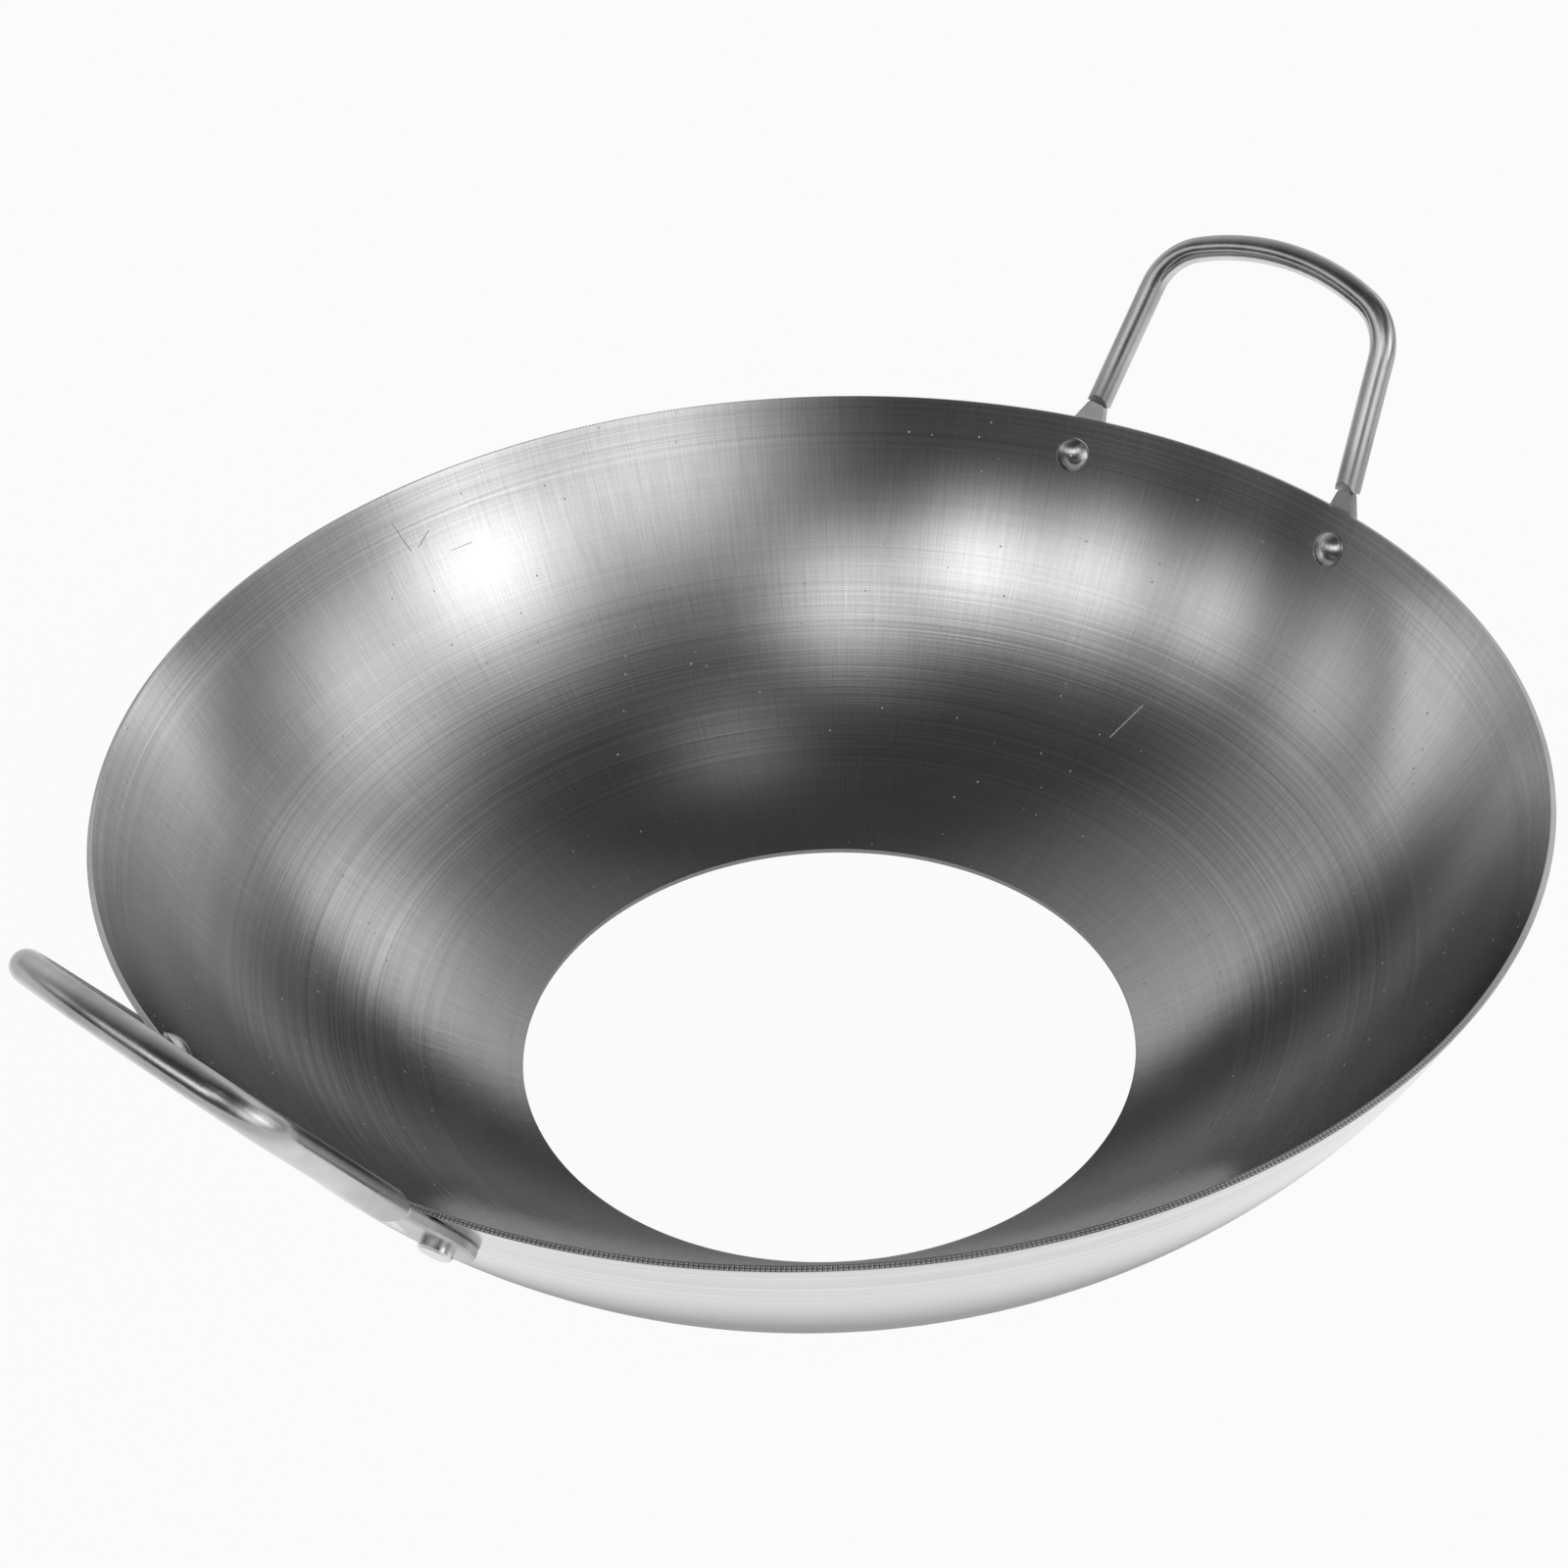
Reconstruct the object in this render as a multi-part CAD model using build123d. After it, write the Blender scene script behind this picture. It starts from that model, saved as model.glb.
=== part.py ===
"""Wok ring: a spun steel bowl with its bottom cut out, and two bent-rod handles riveted outside the rim.

The ring stands on the cut edge of its bottom hole, at z = 0. The handles face +X and -X.
"""

import os
from math import cos, degrees, radians, sin, sqrt, tan

from build123d import *

# Driving dimensions of the bowl, mm and degrees
rim_radius = 200.0
sheet = 1.6
wall_slope = 65.6
rim_band_length = 12.6
sweep_radius = 200.0
hole_radius = 92.5
ground_land = 0.5
rim_edge_break = 0.2

# Driving dimensions of a handle
rod_diameter = 8.0
loop_slope = 58.4
leg_lean = 6.5
loop_height = 76.4
corner_radius = 19.0
top_bow_radius = 82.0

# Driving dimensions of a foot, which is the rod's end pressed flat
foot_thickness = 3.0
foot_tip_radius = 9.0
foot_neck_radius = 3.7
foot_edge_break = 0.6
foot_bedding = 0.25
bend_above_rivet = 5.0
press_above_rivet = 18.5
press_ramp_angle = 44.0

# Driving dimensions of a rivet
rivet_spacing = 98.8
rivet_below_rim = 12.8
shank_radius = 3.0
button_radius = 5.7
button_brim = 0.4
button_dome_radius = 5.2
button_height = 2.3
set_head_radius = 4.4
set_head_height = 2.5
set_head_edge = 0.6
head_bedding = 0.15

# Length by which a cutting shape runs past what it cuts
overrun = 6.0


# Sizes that follow from the driving ones
slope = radians(wall_slope)
up_the_wall = Vector(cos(slope), 0, sin(slope))
off_the_wall = Vector(sin(slope), 0, -cos(slope))

# The sweep is tangent to the band, and the ground cuts it where the land round the hole ends
sweep_centre_x = rim_radius - rim_band_length * cos(slope) - sweep_radius * sin(slope)
land_radius = hole_radius + ground_land
sweep_centre_z = sqrt(sweep_radius**2 - (land_radius - sweep_centre_x) ** 2)
sweep_centre = Vector(sweep_centre_x, 0, sweep_centre_z)
rim_height = sweep_centre_z - sweep_radius * cos(slope) + rim_band_length * sin(slope)
rim_edge = Vector(rim_radius, 0, rim_height)

rod_radius = rod_diameter / 2
half_foot = foot_thickness / 2
press_length = press_above_rivet - bend_above_rivet
ramp_length = (rod_radius - half_foot) / tan(radians(press_ramp_angle))


def sweep_point(arc_radius, distance_from_axis):
    """Point of the bowl's outer or inner arc at a distance from the axis."""
    reach = distance_from_axis - sweep_centre.X
    return Vector(distance_from_axis, 0, sweep_centre.Z - sqrt(arc_radius**2 - reach**2))


def sweep_arc(start, end, arc_radius):
    """Arc about the sweep's centre between two of its points."""
    middle = ((start + end) / 2 - sweep_centre).normalized()
    return ThreePointArc(start, sweep_centre + middle * arc_radius, end)


def make_plain_bowl():
    """Spun bowl of one thickness: a straight band under the rim, then one arc down to the cut hole."""
    band_foot = rim_edge - up_the_wall * rim_band_length
    inner_rim_edge = rim_edge - off_the_wall * sheet
    inner_band_foot = band_foot - off_the_wall * sheet
    land_edge = Vector(land_radius, 0, 0)
    hole_foot = Vector(hole_radius, 0, 0)
    hole_top = sweep_point(sweep_radius - sheet, hole_radius)
    section = make_face(
        Wire(
            [
                Line(rim_edge, band_foot),
                sweep_arc(band_foot, land_edge, sweep_radius),
                Line(land_edge, hole_foot),
                Line(hole_foot, hole_top),
                sweep_arc(hole_top, inner_band_foot, sweep_radius - sheet),
                Line(inner_band_foot, inner_rim_edge),
                Line(inner_rim_edge, rim_edge),
            ]
        )
    )
    bowl = revolve(section, Axis.Z)
    rim_edges = bowl.edges().filter_by(GeomType.CIRCLE).sort_by(Axis.Z)[-2:]
    return chamfer(rim_edges, rim_edge_break)


def rivet_plane(side):
    """Plane on the wall's outer face at a rivet of the +X handle: x up the wall, z straight out of it.

    side is 1 for the rivet towards +Y and -1 for the one towards -Y.
    """
    past_band = max(0.0, rivet_below_rim - rim_band_length)
    local_slope = slope - past_band / sweep_radius
    if past_band > 0:
        reach = Vector(sin(local_slope), 0, -cos(local_slope)) * sweep_radius
        point = sweep_centre + reach
    else:
        point = rim_edge - up_the_wall * rivet_below_rim
    across = side * rivet_spacing / 2
    radial = Vector(sqrt(point.X**2 - across**2), across, 0) / point.X
    spot = radial * point.X + Vector(0, 0, point.Z)
    climb = radial * cos(local_slope) + Vector(0, 0, sin(local_slope))
    normal = radial * sin(local_slope) - Vector(0, 0, cos(local_slope))
    return Plane(origin=spot, x_dir=climb, z_dir=normal)


def leg_direction(side):
    """Way a leg goes from its foot: up the sloping plane of the loop, leaning to the loop's middle."""
    up_the_loop = Vector(cos(radians(loop_slope)), 0, sin(radians(loop_slope)))
    lean = radians(leg_lean)
    return up_the_loop * cos(lean) - Vector(0, side, 0) * sin(lean)


def foot_plane(side):
    """Plane in the middle of a foot's thickness, centred on its rivet, with x along the foot to the leg."""
    wall = rivet_plane(side)
    leg = leg_direction(side)
    along = (leg - wall.z_dir * leg.dot(wall.z_dir)).normalized()
    centre = wall.origin + wall.z_dir * (half_foot - foot_bedding)
    return Plane(origin=centre, x_dir=along, z_dir=wall.z_dir)


def knee_angle(side):
    """Angle in radians by which the leg leaves the wall, above the rivet."""
    return radians(leg_direction(side).get_angle(foot_plane(side).x_dir))


def knee_point(side):
    """Point where the middle line of the foot turns into the middle line of the leg."""
    foot = foot_plane(side)
    return foot.origin + foot.x_dir * bend_above_rivet


def make_loop():
    """Round rod of the +X handle: leg, corner, bowed grip, corner, leg, all in one sloping plane."""
    base = knee_point(1)
    lean = radians(leg_lean)
    tilt = radians(loop_slope)

    def in_loop(across, up):
        return Vector(base.X + up * cos(tilt), across, base.Z + up * sin(tilt))

    # The corner's centre is one corner radius inside the leg, and inside the grip's bow
    bow_centre_up = loop_height - top_bow_radius
    reach = top_bow_radius - corner_radius
    near_across = base.Y - corner_radius * cos(lean)
    near_up = -corner_radius * sin(lean) - bow_centre_up
    ahead = near_up * cos(lean) - near_across * sin(lean)
    run = -ahead + sqrt(ahead**2 - near_across**2 - near_up**2 + reach**2)
    centre_across = near_across - run * sin(lean)
    centre_up = near_up + run * cos(lean) + bow_centre_up
    bow_across = centre_across / reach
    bow_up = (centre_up - bow_centre_up) / reach
    middle_across = cos(lean) + bow_across
    middle_up = sin(lean) + bow_up
    middle_size = sqrt(middle_across**2 + middle_up**2)

    def corner_point(way_across, way_up):
        return centre_across + corner_radius * way_across, centre_up + corner_radius * way_up

    leg_foot = (base.Y - press_length * sin(lean), press_length * cos(lean))
    leg_head = corner_point(cos(lean), sin(lean))
    corner_middle = corner_point(middle_across / middle_size, middle_up / middle_size)
    grip_end = corner_point(bow_across, bow_up)

    def half_loop(side):
        return [in_loop(side * across, up) for across, up in (leg_foot, leg_head, corner_middle, grip_end)]

    left = half_loop(1)
    right = half_loop(-1)
    path = Wire(
        [
            Line(left[0], left[1]),
            ThreePointArc(left[1], left[2], left[3]),
            ThreePointArc(left[3], in_loop(0, loop_height), right[3]),
            ThreePointArc(right[3], right[2], right[1]),
            Line(right[1], right[0]),
        ]
    )
    rod_end = Plane(origin=path @ 0, z_dir=path % 0) * Circle(rod_radius)
    return sweep(rod_end, path=path)


def make_foot_plate(side):
    """Flattened end of the rod: a plate of even thickness that widens round the rivet and bends off the wall.

    Worked with x along the foot, y across it and z off the wall, and then put on the wall.
    """
    knee = degrees(knee_angle(side))
    neck_at = bend_above_rivet + press_length + ramp_length / 2 - foot_neck_radius
    neck = Pos(neck_at, 0) * Circle(foot_neck_radius)
    outline = make_hull(Circle(foot_tip_radius).edges() + neck.edges())
    flat = extrude(outline, amount=half_foot, both=True)
    flat = chamfer(flat.faces().filter_by(Axis.Z).edges(), foot_edge_break)

    # The plate is mitred at the knee: one half stays on the wall and the other is turned off it
    size = 2 * (neck_at + foot_tip_radius + overrun)
    to_knee = Pos(bend_above_rivet, 0, 0)
    mitre = to_knee * Rot(0, -knee / 2, 0)
    on_wall = flat & (mitre * Pos(-size / 2, 0, 0) * Box(size, size, size))
    turned = to_knee * Rot(0, -knee, 0) * Pos(-bend_above_rivet, 0, 0) * flat
    off_wall = turned & (mitre * Pos(size / 2, 0, 0) * Box(size, size, size))
    return foot_plane(side) * (on_wall + off_wall)


def make_press(side):
    """What the press takes from the round rod: a wedge on each face, its ramp ending at the flat plate."""
    knee = knee_angle(side)
    rise = rod_diameter
    run = rise / tan(radians(press_ramp_angle))
    wedges = []
    for face in (1, -1):
        wedge = Polyline(
            (press_length - overrun, 0, face * half_foot),
            (press_length, 0, face * half_foot),
            (press_length + run, 0, face * (half_foot + rise)),
            (press_length - overrun, 0, face * (half_foot + rise)),
            close=True,
        )
        wedges.append(extrude(make_face(wedge), amount=rod_diameter, both=True))
    leg_frame = Pos(bend_above_rivet, 0, 0) * Rot(0, -degrees(knee), 0)
    return foot_plane(side) * leg_frame * (wedges[0] + wedges[1])


def make_rivet_hole(side):
    """Hole through the wall and the foot for a rivet's shank."""
    length = sheet + foot_thickness + 2 * overrun
    return rivet_plane(side) * Pos(0, 0, foot_thickness / 2) * Cylinder(shank_radius, length)


def make_handle(bowl):
    """Handle at +X: the loop with both feet pressed flat, bored for the rivets and bedded on the wall."""
    handle = make_loop()
    for side in (1, -1):
        handle -= make_press(side)
    for side in (1, -1):
        handle += make_foot_plate(side)
    for side in (1, -1):
        handle -= make_rivet_hole(side)
    return handle - bowl


def make_rivet(side, bowl):
    """Rivet of the +X handle: domed button inside the bowl, shank, and a flat set head on the foot."""
    foot_face = foot_thickness - foot_bedding
    brim_foot = -sheet - button_brim
    head_top = foot_face + set_head_height
    dome_rise = button_height - button_brim
    dome_curve = (button_dome_radius**2 + dome_rise**2) / (2 * dome_rise)
    half_way = button_dome_radius / 2
    dome_middle = -sheet - button_height + dome_curve - sqrt(dome_curve**2 - half_way**2)
    dome = ThreePointArc(
        (0, 0, -sheet - button_height),
        (half_way, 0, dome_middle),
        (button_dome_radius, 0, brim_foot),
    )
    stem = Polyline(
        (button_dome_radius, 0, brim_foot),
        (button_radius, 0, brim_foot),
        (button_radius, 0, head_bedding - sheet),
        (shank_radius, 0, head_bedding - sheet),
        (shank_radius, 0, foot_face),
        (set_head_radius, 0, foot_face),
        (set_head_radius, 0, head_top - set_head_edge),
        (set_head_radius - set_head_edge, 0, head_top),
        (0, 0, head_top),
        (0, 0, -sheet - button_height),
    )
    section = make_face(dome.edges() + stem.edges())
    return rivet_plane(side) * revolve(section, Axis.Z) - bowl


def write_parts():
    """Write one STEP for each piece, the left-hand handle and its rivets being the others turned half round."""
    half_turn = Rot(0, 0, 180)
    bowl = make_plain_bowl()
    for side in (1, -1):
        bowl -= make_rivet_hole(side)
        bowl -= half_turn * make_rivet_hole(side)
    handle = make_handle(bowl)
    back_rivet = make_rivet(1, bowl)
    front_rivet = make_rivet(-1, bowl)
    pieces = {
        "bowl": bowl,
        "handle_right": handle,
        "handle_left": half_turn * handle,
        "rivet_right_back": back_rivet,
        "rivet_right_front": front_rivet,
        "rivet_left_front": half_turn * back_rivet,
        "rivet_left_back": half_turn * front_rivet,
    }
    os.makedirs("parts", exist_ok=True)
    for name, piece in pieces.items():
        piece.label = name
        export_step(piece, f"parts/{name}.step")


write_parts()
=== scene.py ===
import bpy
import numpy as np
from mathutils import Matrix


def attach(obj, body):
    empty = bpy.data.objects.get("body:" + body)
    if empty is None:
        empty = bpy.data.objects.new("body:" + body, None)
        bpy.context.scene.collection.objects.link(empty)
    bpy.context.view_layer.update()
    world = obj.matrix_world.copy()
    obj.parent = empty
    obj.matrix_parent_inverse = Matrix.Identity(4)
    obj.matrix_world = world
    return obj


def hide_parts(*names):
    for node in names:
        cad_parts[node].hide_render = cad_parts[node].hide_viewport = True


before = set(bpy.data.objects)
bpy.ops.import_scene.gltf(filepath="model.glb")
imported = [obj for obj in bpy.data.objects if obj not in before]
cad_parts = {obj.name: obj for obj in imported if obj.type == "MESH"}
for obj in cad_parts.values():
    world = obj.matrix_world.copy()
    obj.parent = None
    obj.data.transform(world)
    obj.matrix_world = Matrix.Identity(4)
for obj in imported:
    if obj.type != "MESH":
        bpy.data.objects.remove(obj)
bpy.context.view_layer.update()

RIM_RADIUS = 0.200
SHEET = 0.0016
WALL_SLOPE = np.radians(65.6)
RIM_BAND = 0.0126
SWEEP_RADIUS = 0.200
HOLE_RADIUS = 0.0925
GROUND_LAND = 0.0005
RIM_EDGE_BREAK = 0.0002
BOWL_TURNS = 512
BAND_STEPS = 6
SWEEP_STEPS = 64

up_the_wall = np.array([np.cos(WALL_SLOPE), np.sin(WALL_SLOPE)])
off_the_wall = np.array([np.sin(WALL_SLOPE), -np.cos(WALL_SLOPE)])
sweep_centre_r = RIM_RADIUS - RIM_BAND * up_the_wall[0] - SWEEP_RADIUS * off_the_wall[0]
sweep_centre_z = np.sqrt(SWEEP_RADIUS**2 - (HOLE_RADIUS + GROUND_LAND - sweep_centre_r) ** 2)
RIM_HEIGHT = sweep_centre_z + SWEEP_RADIUS * off_the_wall[1] + RIM_BAND * up_the_wall[1]
rim_edge = np.array([RIM_RADIUS, RIM_HEIGHT])


def straight(start, end, count):
    """Points spaced evenly from start to end, the end left out."""
    share = np.linspace(0, 1, count, endpoint=False)[:, None]
    return start + (end - start) * share


def sweep_run(radius, start_r, end_r, count):
    """Points on the bowl's arc, evenly by angle, from one distance off the axis to another."""
    start = np.arcsin((start_r - sweep_centre_r) / radius)
    end = np.arcsin((end_r - sweep_centre_r) / radius)
    angle = np.linspace(start, end, count, endpoint=False)
    return np.stack([sweep_centre_r + radius * np.sin(angle), sweep_centre_z - radius * np.cos(angle)], 1)


def turned(profile, turns, closed):
    """Surface of revolution: point (u, v) is profile point v carried round Z by u full turns.

    The faces point to the right of the profile's way. The map's u is the turn, and its v the way along.
    """
    angle = np.linspace(0, 2 * np.pi, turns, endpoint=False)
    ring_x = np.outer(np.cos(angle), profile[:, 0])
    ring_y = np.outer(np.sin(angle), profile[:, 0])
    ring_z = np.broadcast_to(profile[:, 1], ring_x.shape)
    points = np.stack([ring_x, ring_y, ring_z], -1).reshape(-1, 3)
    return points, grid_faces(turns, len(profile), closed), profile_map(profile, turns, closed)


def grid_faces(turns, count, closed):
    """Four-sided faces between neighbouring rows of a grid that joins up round the axis."""
    row = np.arange(turns)[:, None]
    last = count if closed else count - 1
    step = np.arange(last)[None, :]
    here = row * count + step
    along = row * count + (step + 1) % count
    beside = ((row + 1) % turns) * count + step
    across = ((row + 1) % turns) * count + (step + 1) % count
    return np.stack([here, along, across, beside], -1).reshape(-1, 4)


def profile_map(profile, turns, closed):
    """Map of a turned surface, a pair for each face corner: the turn, and the metres along the profile."""
    rolled = np.roll(profile, -1, 0)
    steps = np.linalg.norm(rolled - profile, axis=1)
    start = np.concatenate([[0], np.cumsum(steps)])
    last = len(profile) if closed else len(profile) - 1
    low, high = start[:last], start[1 : last + 1]
    row = np.arange(turns)[:, None] / turns
    next_row = row + 1 / turns
    corners = [(row, low), (row, high), (next_row, high), (next_row, low)]
    pairs = [np.stack(np.broadcast_arrays(a, b[None, :]), -1) for a, b in corners]
    return np.stack(pairs, 2).reshape(-1, 2)


def make_piece(name, points, faces, corner_map=None):
    """Mesh object from arrays of points and faces, smooth, with its map where one is given."""
    mesh = bpy.data.meshes.new(name)
    mesh.from_pydata(points.tolist(), [], faces.tolist())
    if corner_map is not None:
        layer = mesh.uv_layers.new(name="along")
        layer.data.foreach_set("uv", corner_map.astype(np.float32).ravel())
    mesh.polygons.foreach_set("use_smooth", np.ones(len(mesh.polygons), bool))
    mesh.update()
    piece = bpy.data.objects.new(name, mesh)
    bpy.context.scene.collection.objects.link(piece)
    return piece


band_foot = rim_edge - up_the_wall * RIM_BAND
inner_rim = rim_edge - off_the_wall * SHEET
inner_band_foot = band_foot - off_the_wall * SHEET
rim_break = RIM_EDGE_BREAK
outer_top = rim_edge - up_the_wall * rim_break
inner_top = inner_rim - up_the_wall * rim_break
land_edge = np.array([HOLE_RADIUS + GROUND_LAND, 0.0])
hole_foot = np.array([HOLE_RADIUS, 0.0])
inner_radius = SWEEP_RADIUS - SHEET
hole_top_z = sweep_centre_z - np.sqrt(inner_radius**2 - (HOLE_RADIUS - sweep_centre_r) ** 2)
hole_top = np.array([HOLE_RADIUS, hole_top_z])

section = np.concatenate(
    [
        straight(outer_top, band_foot, BAND_STEPS),
        sweep_run(SWEEP_RADIUS, band_foot[0], land_edge[0], SWEEP_STEPS),
        straight(land_edge, hole_foot, 1),
        straight(hole_foot, hole_top, 2),
        sweep_run(inner_radius, hole_top[0], inner_band_foot[0], SWEEP_STEPS),
        straight(inner_band_foot, inner_top, BAND_STEPS),
        inner_top[None, :],
    ]
)
sheet_points, sheet_faces, sheet_map = turned(section, BOWL_TURNS, closed=False)
bowl_sheet = make_piece("bowl_sheet", sheet_points, sheet_faces, sheet_map)
bowl_sheet.data.set_sharp_from_angle(angle=np.radians(30))
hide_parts("bowl")
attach(bowl_sheet, "root")

# The knurled rim
# The cut edge of the sheet is knurled all round with two rows of small square teeth, and left bright.
# It is the same sheet as the bowl, and closes it between the inner and the outer edge.
KNURL_PITCH = 0.00114
KNURL_DEPTH = 0.00014
KNURL_ROWS = 2
SAMPLES_PER_TOOTH = 6
SAMPLES_ACROSS = 13

teeth = int(2 * np.pi * RIM_RADIUS / KNURL_PITCH)


def tooth_wave(phase):
    """1 on a tooth and 0 in the groove beside it: a cosine of the phase in turns, cut flat at both ends."""
    return np.clip(0.5 + 1.1 * np.cos(2 * np.pi * phase), 0, 1)


def knurled_edge(teeth, rows):
    """Point (u, w) of the rim's face: w goes from the inner edge over the face to the outer edge.

    The face drops by the knurl's depth where the waves along the rim and across it aren't both on a tooth.
    """
    turns = teeth * SAMPLES_PER_TOOTH
    angle = np.linspace(0, 2 * np.pi, turns, endpoint=False)
    across = np.linspace(0, 1, SAMPLES_ACROSS)
    inner_corner = inner_rim + off_the_wall * rim_break
    outer_corner = rim_edge - off_the_wall * rim_break
    flat = inner_corner + (outer_corner - inner_corner) * across[:, None]
    profile = np.concatenate([inner_top[None, :], flat, outer_top[None, :]])
    along_wave = tooth_wave(angle * teeth / (2 * np.pi))
    across_wave = tooth_wave(across * rows - 0.5)
    drop = np.zeros((turns, len(profile)))
    drop[:, 1:-1] = KNURL_DEPTH * (1 - np.outer(along_wave, across_wave))
    ring = profile[None, :, :] - drop[:, :, None] * up_the_wall
    ring_x = ring[:, :, 0] * np.cos(angle)[:, None]
    ring_y = ring[:, :, 0] * np.sin(angle)[:, None]
    points = np.stack([ring_x, ring_y, ring[:, :, 1]], -1).reshape(-1, 3)
    return points, grid_faces(turns, len(profile), closed=False)


rim_points, rim_faces = knurled_edge(teeth, KNURL_ROWS)
bowl_rim = make_piece("bowl_rim", rim_points, rim_faces)
bowl_rim.data.set_sharp_from_angle(angle=np.radians(35))
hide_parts("bowl")
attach(bowl_rim, "root")


# The bowl's finish
# Bare steel, brushed from the rim to the hole in fine strokes that follow the section, with the rings that
# the spinning tool left running round the axis, strongest half-way down. Dust and small nicks lie on it.
STEEL_TONE = 0.66
STROKE_CONTRAST = 0.36
RING_CONTRAST = 0.75
CLOUD_CONTRAST = 0.10
OUTSIDE_STROKES = 0.18
RINGS_OFF_THE_BAND = 0.22
RINGS_BY_THE_RIM = 0.8
RING_DEPTH = 1.4
GRAIN_STRENGTH = 0.12
GRAIN_DEPTH = 0.00012
DUST_CELLS_PER_METRE = 260.0
DUST_THRESHOLD = 0.80
MARK_MAP_RADIUS = 0.18
CAMERA_TURN = np.radians(-46.8)
STROKE_WIDTH = 0.0004
STROKE_LENGTH = 0.022
RING_WIDTH = 0.0008
RING_LENGTH = 0.200
RING_BAND_RADIUS = 0.145
LAND_START = BAND_STEPS + SWEEP_STEPS
OUTSIDE_LENGTH = np.linalg.norm(np.diff(section[: LAND_START + 1], axis=0), axis=1).sum()


class Nodes:
    """A material's nodes and links, with short calls to add them."""

    def __init__(self, tree):
        self.tree = tree
        tree.nodes.clear()

    def add(self, kind, **settings):
        node = self.tree.nodes.new(kind)
        for key, value in settings.items():
            setattr(node, key, value)
        return node

    def link(self, start, end):
        self.tree.links.new(start, end)

    def feed(self, value, socket):
        if isinstance(value, bpy.types.NodeSocket):
            self.link(value, socket)
        else:
            socket.default_value = value

    def math(self, operation, a, b=None, c=None, clamp=False):
        node = self.add("ShaderNodeMath", operation=operation, use_clamp=clamp)
        for value, socket in zip((a, b, c), node.inputs):
            if value is not None:
                self.feed(value, socket)
        return node.outputs[0]

    def vector(self, operation, a, b=None):
        node = self.add("ShaderNodeVectorMath", operation=operation)
        self.feed(a, node.inputs[0])
        if b is not None:
            self.feed(b, node.inputs["Scale"] if operation == "SCALE" else node.inputs[1])
        return node.outputs["Value" if operation in ("DOT_PRODUCT", "LENGTH") else "Vector"]

    def noise(self, vector, scale, detail=2.0, roughness=0.5):
        node = self.add("ShaderNodeTexNoise")
        self.link(vector, node.inputs["Vector"])
        node.inputs["Scale"].default_value = scale
        node.inputs["Detail"].default_value = detail
        node.inputs["Roughness"].default_value = roughness
        return node.outputs[0]

    def between(self, value, low, high, to_low=0.0, to_high=1.0):
        node = self.add("ShaderNodeMapRange", clamp=True)
        self.link(value, node.inputs["Value"])
        node.inputs["From Min"].default_value = low
        node.inputs["From Max"].default_value = high
        node.inputs["To Min"].default_value = to_low
        node.inputs["To Max"].default_value = to_high
        return node.outputs["Result"]

    def colour(self, shade):
        node = self.add("ShaderNodeCombineColor")
        for socket in node.inputs:
            self.link(shade, socket)
        return node.outputs[0]


def new_material(name):
    material = bpy.data.materials.new(name)
    material.use_nodes = True
    return material, Nodes(material.node_tree)


def stretched(n, way_round, along, per_turn, per_metre):
    """Point for a noise that follows the bowl: the way round the axis and the metres along, each scaled."""
    flat = n.vector("SCALE", way_round, per_turn)
    lift = n.add("ShaderNodeCombineXYZ")
    n.link(n.math("MULTIPLY", along, per_metre), lift.inputs["Z"])
    return n.vector("ADD", flat, lift.outputs[0])


# The inner side of the section, from half-way up the hole's wall. The metres along it are counted from that
# wall's foot, so each mark lies half the wall, about 0.8 mm, nearer to the hole than it is written.
INNER_SECTION = section[LAND_START + 2 :]
INNER_STEPS = np.linalg.norm(np.diff(INNER_SECTION, axis=0), axis=1)
INNER_ALONG = OUTSIDE_LENGTH + GROUND_LAND + np.concatenate([[0], np.cumsum(INNER_STEPS)])

# Marks on the inside: where each starts and ends (way round from the camera's right in degrees, and metres
# from the axis), and its half-width. Two nicks, three thin scratches, and a scuff on the right.
MARKS = (
    ((132.4, 0.1950), (131.6, 0.1905), 0.00030),
    ((130.6, 0.1905), (129.0, 0.1920), 0.00025),
    ((124.0, 0.1930), (116.5, 0.1925), 0.00022),
    ((127.5, 0.1880), (125.0, 0.1880), 0.00020),
    ((182.0, 0.1850), (183.6, 0.1790), 0.00025),
    ((44.5, 0.1530), (46.5, 0.1430), 0.00035),
)


def on_chart(way_round, from_axis):
    """Place on the bowl's map of a point inside: turns round the axis, and metres along the section."""
    turn = (way_round / 360 + CAMERA_TURN / (2 * np.pi)) % 1
    return turn, float(np.interp(from_axis, INNER_SECTION[:, 0], INNER_ALONG))


def scratch(n, chart, start, end, half_width):
    """1 close to the straight line from start to end on the map, falling to 0 at the half-width."""
    per_turn = 2 * np.pi * MARK_MAP_RADIUS
    to_metres = (per_turn, 1.0, 0.0)
    line = ((end[0] - start[0]) * per_turn, end[1] - start[1], 0.0)
    square = line[0] ** 2 + line[1] ** 2
    in_metres = n.vector("MULTIPLY", chart, to_metres)
    from_start = n.vector("SUBTRACT", in_metres, (start[0] * per_turn, start[1], 0))
    share = n.math("DIVIDE", n.vector("DOT_PRODUCT", from_start, line), square, clamp=True)
    nearest = n.add("ShaderNodeVectorMath", operation="SCALE")
    nearest.inputs[0].default_value = line
    n.link(share, nearest.inputs["Scale"])
    miss = n.vector("LENGTH", n.vector("SUBTRACT", from_start, nearest.outputs[0]))
    return n.between(miss, half_width * 0.5, half_width, 1.0, 0.0)


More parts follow.
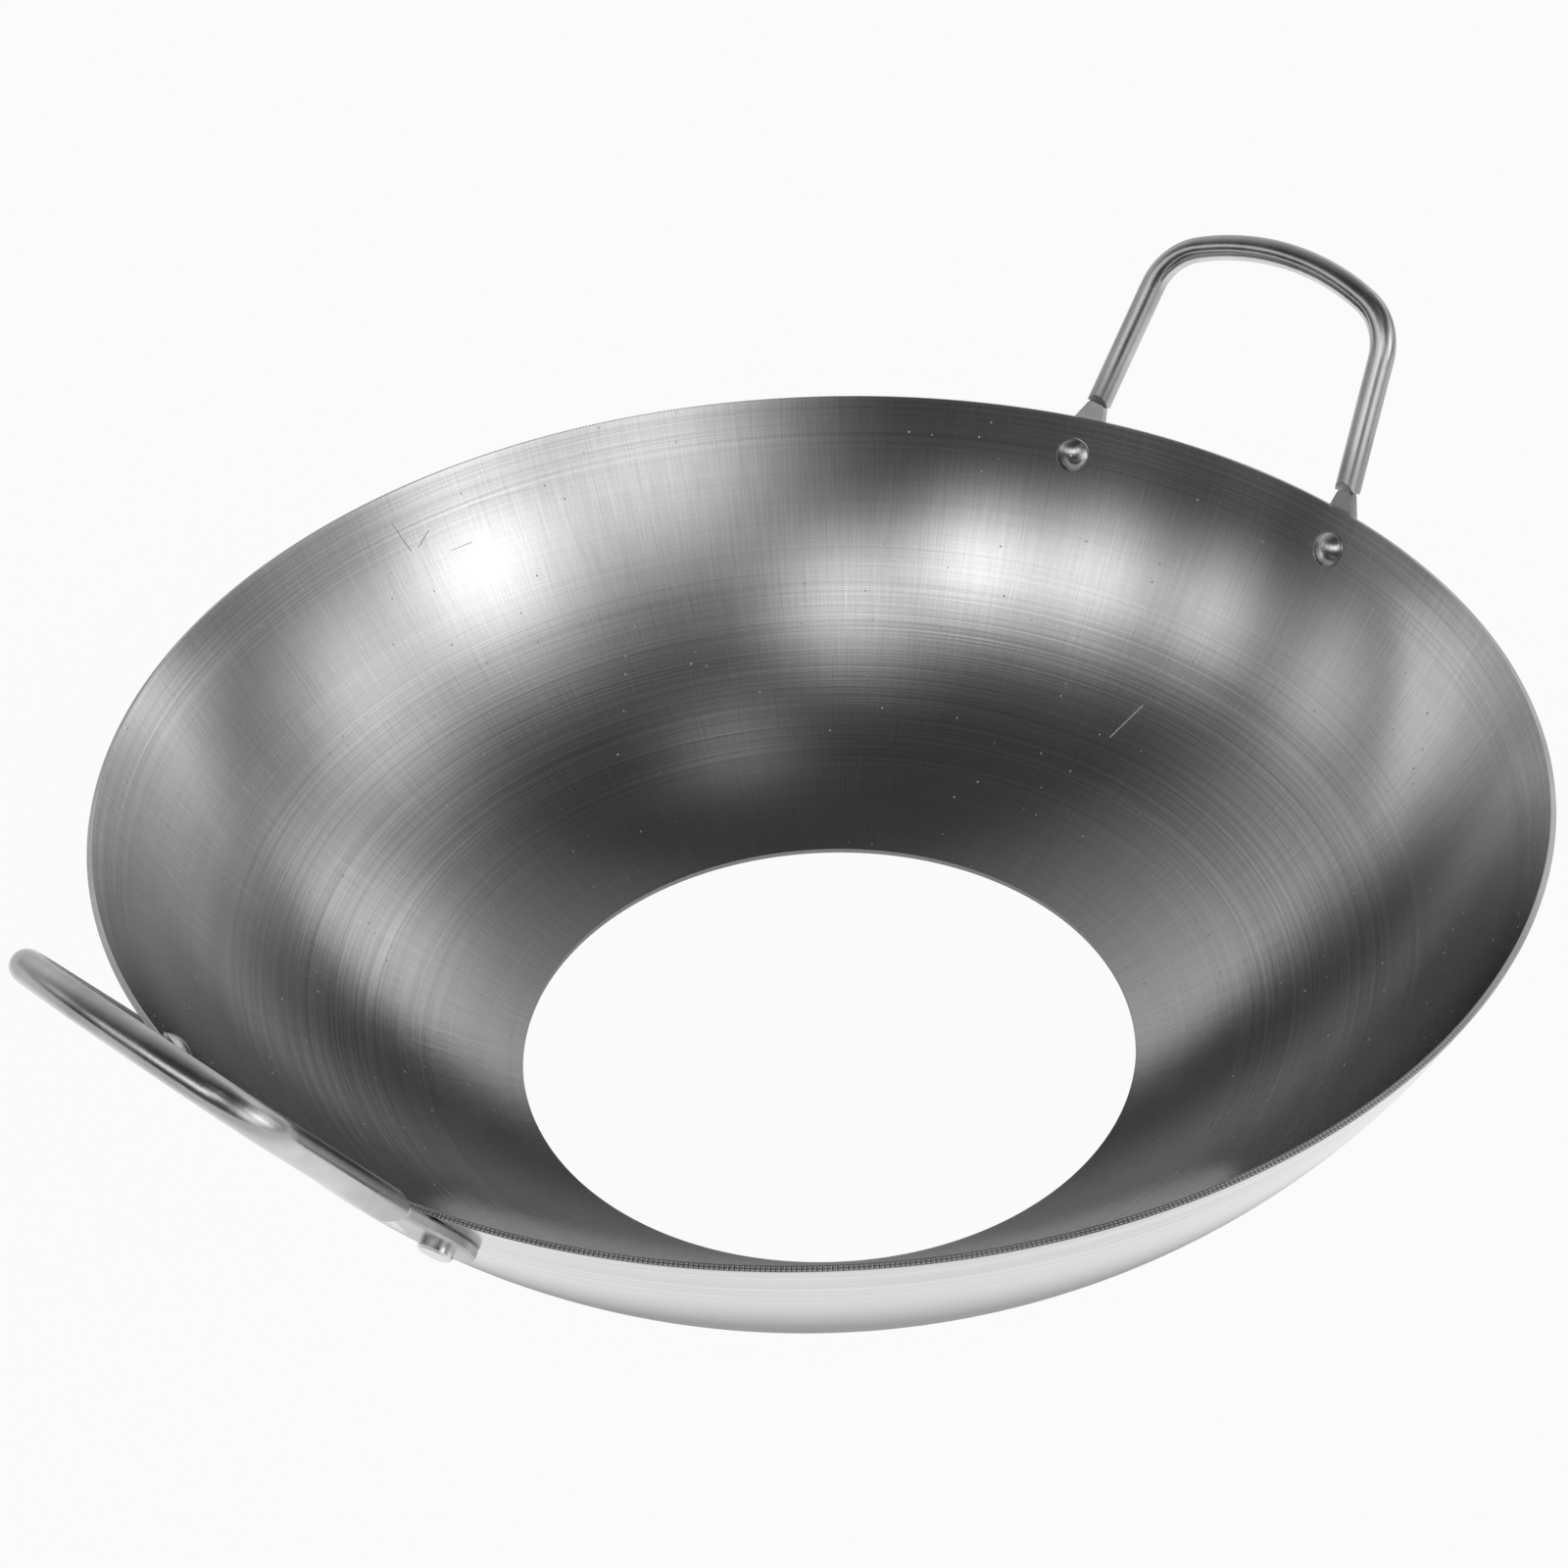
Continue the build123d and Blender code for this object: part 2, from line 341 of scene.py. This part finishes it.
def brushed_steel():
    material, n = new_material("brushed_bowl_steel")
    place = n.add("ShaderNodeTexCoord")
    flat = n.vector("MULTIPLY", place.outputs["Object"], (1, 1, 0))
    way_round = n.vector("NORMALIZE", flat)
    from_axis = n.vector("LENGTH", flat)
    chart = n.add("ShaderNodeUVMap", uv_map="along")
    split = n.add("ShaderNodeSeparateXYZ")
    n.link(chart.outputs[0], split.inputs[0])
    along = split.outputs["Y"]

    stroke_place = stretched(n, way_round, along, RING_BAND_RADIUS / STROKE_WIDTH, 1 / STROKE_LENGTH)
    strokes = n.noise(stroke_place, 1.0, detail=3.0, roughness=0.65)
    ring_place = stretched(n, way_round, along, RING_BAND_RADIUS / RING_LENGTH, 1 / RING_WIDTH)
    rings = n.noise(ring_place, 1.0, detail=3.0, roughness=0.75)
    cloud = n.noise(place.outputs["Object"], 14.0, detail=3.0)

    inside = n.between(along, OUTSIDE_LENGTH, OUTSIDE_LENGTH + 0.001)
    off_band = n.math("ABSOLUTE", n.math("SUBTRACT", from_axis, RING_BAND_RADIUS))
    ring_share = n.math("MULTIPLY", n.between(off_band, 0.015, 0.035, 1.0, RINGS_OFF_THE_BAND), inside)
    by_the_rim = n.between(from_axis, RIM_RADIUS - 0.012, RIM_RADIUS - 0.007, 0.0, RINGS_BY_THE_RIM)
    ring_share = n.math("MAXIMUM", ring_share, by_the_rim)
    stroke_share = n.between(inside, 0.0, 1.0, OUTSIDE_STROKES, 1.0)

    speck_cells = n.add("ShaderNodeTexVoronoi", feature="F1")
    n.link(place.outputs["Object"], speck_cells.inputs["Vector"])
    speck_cells.inputs["Scale"].default_value = DUST_CELLS_PER_METRE
    chosen = n.add("ShaderNodeSeparateColor")
    n.link(speck_cells.outputs["Color"], chosen.inputs[0])
    small = n.between(speck_cells.outputs["Distance"], 0.06, 0.12, 1.0, 0.0)
    dust = n.math("MULTIPLY", small, n.between(chosen.outputs[0], DUST_THRESHOLD, DUST_THRESHOLD + 0.01))
    dust = n.math("MULTIPLY", dust, inside)

    marks = None
    for start, end, width in MARKS:
        mark = scratch(n, chart.outputs[0], on_chart(*start), on_chart(*end), width)
        marks = mark if marks is None else n.math("MAXIMUM", marks, mark)
    marks = n.math("MULTIPLY", marks, n.between(cloud, 0.38, 0.55))

    stroke_part = n.math("MULTIPLY", stroke_share, STROKE_CONTRAST)
    stroke_tone = n.math("MULTIPLY", n.math("SUBTRACT", strokes, 0.5), stroke_part)
    ring_part = n.math("MULTIPLY", ring_share, RING_CONTRAST)
    ring_tone = n.math("MULTIPLY", n.math("SUBTRACT", rings, 0.5), ring_part)
    tone = n.math("ADD", n.math("ADD", stroke_tone, ring_tone), STEEL_TONE)
    tone = n.math("MULTIPLY_ADD", n.math("SUBTRACT", cloud, 0.5), CLOUD_CONTRAST, tone)
    pale = n.math("MAXIMUM", dust, marks)
    tone = n.math("MAXIMUM", tone, n.math("MULTIPLY", pale, 0.9), clamp=True)

    ring_height = n.math("MULTIPLY", n.math("MULTIPLY", rings, ring_share), RING_DEPTH)
    height = n.math("MULTIPLY_ADD", strokes, stroke_share, ring_height)
    bump = n.add("ShaderNodeBump")
    bump.inputs["Strength"].default_value = GRAIN_STRENGTH
    bump.inputs["Distance"].default_value = GRAIN_DEPTH
    n.link(height, bump.inputs["Height"])

    gloss = n.between(cloud, 0.3, 0.7, 0.13, 0.17)
    gloss = n.math("MULTIPLY_ADD", pale, 0.4, gloss)

    shader = n.add("ShaderNodeBsdfPrincipled")
    n.link(n.math("SUBTRACT", 1.0, pale), shader.inputs["Metallic"])
    shader.inputs["Anisotropic"].default_value = 0.45
    n.link(n.colour(tone), shader.inputs["Base Color"])
    n.link(gloss, shader.inputs["Roughness"])
    n.link(bump.outputs[0], shader.inputs["Normal"])
    grain = n.add("ShaderNodeTangent", direction_type="UV_MAP", uv_map="along")
    n.link(grain.outputs[0], shader.inputs["Tangent"])
    out = n.add("ShaderNodeOutputMaterial")
    n.link(shader.outputs[0], out.inputs["Surface"])
    return material


bowl_sheet.data.materials.append(brushed_steel())


def knurl_steel():
    material, n = new_material("knurled_rim_steel")
    place = n.add("ShaderNodeTexCoord")
    cloud = n.noise(place.outputs["Object"], 30.0, detail=3.0)
    shader = n.add("ShaderNodeBsdfPrincipled")
    shader.inputs["Metallic"].default_value = 1.0
    n.link(n.colour(n.between(cloud, 0.3, 0.7, 0.70, 0.90)), shader.inputs["Base Color"])
    shader.inputs["Roughness"].default_value = 0.25
    out = n.add("ShaderNodeOutputMaterial")
    n.link(shader.outputs[0], out.inputs["Surface"])
    return material


bowl_rim.data.materials.append(knurl_steel())


# The handles
# Each is one 8 mm steel rod bent to a loop, its ends pressed flat to feet, and the whole plated bright.
# The plating is smooth with faint pits, and rougher where the press has worked the feet. Low down, on the
# feet under the rim, the tone is darkened as painted shade.
def plated_rod():
    material, n = new_material("plated_rod_steel")
    place = n.add("ShaderNodeTexCoord")
    cloud = n.noise(place.outputs["Object"], 60.0, detail=4.0, roughness=0.6)
    pits = n.noise(place.outputs["Object"], 900.0, detail=2.0, roughness=0.6)
    shader = n.add("ShaderNodeBsdfPrincipled")
    shader.inputs["Metallic"].default_value = 1.0
    split = n.add("ShaderNodeSeparateXYZ")
    n.link(place.outputs["Object"], split.inputs[0])
    # Below the rim the tone is darkened as painted shade under the rim, and the press's work makes it
    # rougher.
    press_wear_and_painted_shade = n.between(split.outputs["Z"], 0.120, 0.132, 1.0, 0.0)
    tone = n.math("MULTIPLY_ADD", press_wear_and_painted_shade, -0.10, n.between(cloud, 0.3, 0.7, 0.56, 0.76))
    n.link(n.colour(tone), shader.inputs["Base Color"])
    gloss = n.math("MULTIPLY_ADD", press_wear_and_painted_shade, 0.14, n.between(cloud, 0.3, 0.7, 0.15, 0.26))
    n.link(gloss, shader.inputs["Roughness"])
    bump = n.add("ShaderNodeBump")
    bump.inputs["Strength"].default_value = 0.12
    bump.inputs["Distance"].default_value = 0.0002
    n.link(pits, bump.inputs["Height"])
    n.link(bump.outputs[0], shader.inputs["Normal"])
    out = n.add("ShaderNodeOutputMaterial")
    n.link(shader.outputs[0], out.inputs["Surface"])
    return material


rod_material = plated_rod()
for name in ("handle_right", "handle_left"):
    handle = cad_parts[name]
    handle.data.materials.clear()
    handle.data.materials.append(rod_material)


# The rivets
# Four steel rivets, each with a domed button inside the bowl and a flat set head on the foot outside.
# They are plated as the rods are, a little brighter.
def rivet_steel():
    material, n = new_material("plated_rivet_steel")
    place = n.add("ShaderNodeTexCoord")
    cloud = n.noise(place.outputs["Object"], 250.0, detail=3.0)
    shader = n.add("ShaderNodeBsdfPrincipled")
    shader.inputs["Metallic"].default_value = 1.0
    n.link(n.colour(n.between(cloud, 0.3, 0.7, 0.62, 0.80)), shader.inputs["Base Color"])
    n.link(n.between(cloud, 0.3, 0.7, 0.14, 0.24), shader.inputs["Roughness"])
    out = n.add("ShaderNodeOutputMaterial")
    n.link(shader.outputs[0], out.inputs["Surface"])
    return material


rivet_material = rivet_steel()
for name in ("rivet_right_back", "rivet_right_front", "rivet_left_front", "rivet_left_back"):
    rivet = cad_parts[name]
    rivet.data.materials.clear()
    rivet.data.materials.append(rivet_material)


# The studio
# A plain white floor that keeps a faint shadow, and a dark room with soft lamps. Mirrored in the steel, the
# floor glows with painted light: white only in a painted band of light round the ring, painted shade under
# the bowl, and painted light dimming to grey far off.
# Directions are given by the way round from the camera's right, and the height above the floor, in degrees.
FLOOR_HALF = 6.0
FLOOR_DROP = 0.0002
FLOOR_GLOW = 0.95
# Shares of the floor's glow in mirrored rays: painted shade under the bowl, and painted light dimming far
# off.
PAINTED_SHADE_UNDER_BOWL = 0.15
PAINTED_LIGHT_FAR_OFF = 0.45


def seen_from_camera(vector):
    """Turns a vector from the camera's own frame, where +Y leads away from it, to the ring's frame."""
    c, s = np.cos(CAMERA_TURN), np.sin(CAMERA_TURN)
    x, y, z = vector
    return np.array([c * x - s * y, s * x + c * y, z])


def direction(way_round, height):
    """Unit vector for a direction in the camera's frame, turned to the ring's frame."""
    a, e = np.radians(way_round), np.radians(height)
    return seen_from_camera((np.cos(e) * np.cos(a), np.cos(e) * np.sin(a), np.sin(e)))


floor_points = np.array([[-1, -1, 0], [1, -1, 0], [1, 1, 0], [-1, 1, 0]]) * [FLOOR_HALF, FLOOR_HALF, 0]
floor_points[:, 2] = -FLOOR_DROP
floor = make_piece("floor", floor_points, np.array([[0, 1, 2, 3]]))
floor_material, n = new_material("pale_floor")
paper = n.add("ShaderNodeBsdfDiffuse")
paper.inputs["Color"].default_value = (0.82, 0.82, 0.82, 1)
glow = n.add("ShaderNodeEmission")
rays = n.add("ShaderNodeLightPath")
spot = n.add("ShaderNodeTexCoord")
away = n.vector("LENGTH", spot.outputs["Object"])
# In mirrored rays the floor's glow is painted light: bright round the ring, painted shade under the bowl,
# dimmer far off.
painted_floor_light = n.between(away, 0.14, 0.17, PAINTED_SHADE_UNDER_BOWL, 1.0)
painted_floor_light = n.math("MULTIPLY", painted_floor_light, n.between(away, 0.26, 0.50, 1.0, PAINTED_LIGHT_FAR_OFF))
mirrored = n.math("MAXIMUM", rays.outputs["Is Glossy Ray"], rays.outputs["Is Transmission Ray"])
shown = n.math("MAXIMUM", rays.outputs["Is Camera Ray"], n.math("MULTIPLY", mirrored, painted_floor_light))
blend = n.add("ShaderNodeMixShader")
n.link(n.math("MULTIPLY", shown, FLOOR_GLOW), blend.inputs[0])
n.link(paper.outputs[0], blend.inputs[1])
n.link(glow.outputs[0], blend.inputs[2])
out = n.add("ShaderNodeOutputMaterial")
n.link(blend.outputs[0], out.inputs["Surface"])
floor.data.materials.append(floor_material)

# Each lamp: way round, height, half-width, strength. A program fitted most of their places, and their first
# strengths, to the bowl's reflections in the photograph. They were then rounded and changed.
LAMPS = (
    (210, 33, 7.0, 1.20),
    (233, 39, 7.0, 1.50),
    (260, 48, 8.0, 0.95),
    (187, 26, 6.5, 0.80),
    (163, 17, 6.5, 0.45),
    (331, 24, 10.5, 1.60),
    (296, 19, 14.0, 1.00),
    (307, 70, 6.0, 0.20),
    (3, 23, 10.5, 0.80),
    (38, 25, 8.0, 0.45),
    (120, 20, 15.0, 0.20),
    (60, 15, 12.0, 0.30),
)
ROOM_LEVEL = 0.050
ROOM_SLOPE = 0.40

# The world is white to the camera. All other rays, mirrored ones too, meet the dark room and its lamps.
world = bpy.data.worlds.new("studio")
bpy.context.scene.world = world
world.use_nodes = True
n = Nodes(world.node_tree)
look = n.add("ShaderNodeTexCoord").outputs["Generated"]
look = n.vector("NORMALIZE", look)
tilt = n.math("MAXIMUM", n.vector("DOT_PRODUCT", look, direction(92, -5)), 0.0)
light = n.math("MULTIPLY_ADD", tilt, ROOM_SLOPE, ROOM_LEVEL)
for way_round, height, spread, strength in LAMPS:
    facing = n.vector("DOT_PRODUCT", look, direction(way_round, height))
    fall = n.math("MULTIPLY", n.math("SUBTRACT", facing, 1.0), 1 / np.radians(spread) ** 2)
    light = n.math("MULTIPLY_ADD", n.math("EXPONENT", fall), strength, light)
room = n.add("ShaderNodeBackground")
n.link(n.colour(light), room.inputs["Color"])
white = n.add("ShaderNodeBackground")
white.inputs["Color"].default_value = (1, 1, 1, 1)
rays = n.add("ShaderNodeLightPath")
blend = n.add("ShaderNodeMixShader")
n.link(rays.outputs["Is Camera Ray"], blend.inputs[0])
n.link(room.outputs[0], blend.inputs[1])
n.link(white.outputs[0], blend.inputs[2])
out = n.add("ShaderNodeOutputWorld")
n.link(blend.outputs[0], out.inputs["Surface"])

# The camera
# It looks down on the ring from nearly twice its width away, turned so that one handle is behind on the
# right and the other in front on the left. The whole picture is 1600 pixels square.
from mathutils import Matrix

PICTURE_WIDTH = 1600
FOCAL_PIXELS = 2741
DOWNWARD = np.radians(36.42)
ROLL = np.radians(3.06)
PLACE = np.array([-0.0461, -3.0438, 2.1725]) * RIM_RADIUS

ahead = np.array([0, np.cos(DOWNWARD), -np.sin(DOWNWARD)])
level_right = np.array([1.0, 0, 0])
level_down = np.cross(ahead, level_right)
right = np.cos(ROLL) * level_right + np.sin(ROLL) * level_down
up = np.sin(ROLL) * level_right - np.cos(ROLL) * level_down
axes = [seen_from_camera(right), seen_from_camera(up), seen_from_camera(-ahead)]
place = seen_from_camera(PLACE) + np.array([0, 0, RIM_HEIGHT])
rows = np.column_stack([*axes, place])
camera_data = bpy.data.cameras.new("camera")
camera_data.sensor_width = 36.0
camera_data.lens = 36.0 * FOCAL_PIXELS / PICTURE_WIDTH
camera_data.clip_start = 0.01
camera = bpy.data.objects.new("camera", camera_data)
camera.matrix_world = Matrix(rows.tolist() + [[0, 0, 0, 1]])
bpy.context.scene.collection.objects.link(camera)
bpy.context.scene.camera = camera
bpy.context.scene.view_settings.view_transform = "Standard"
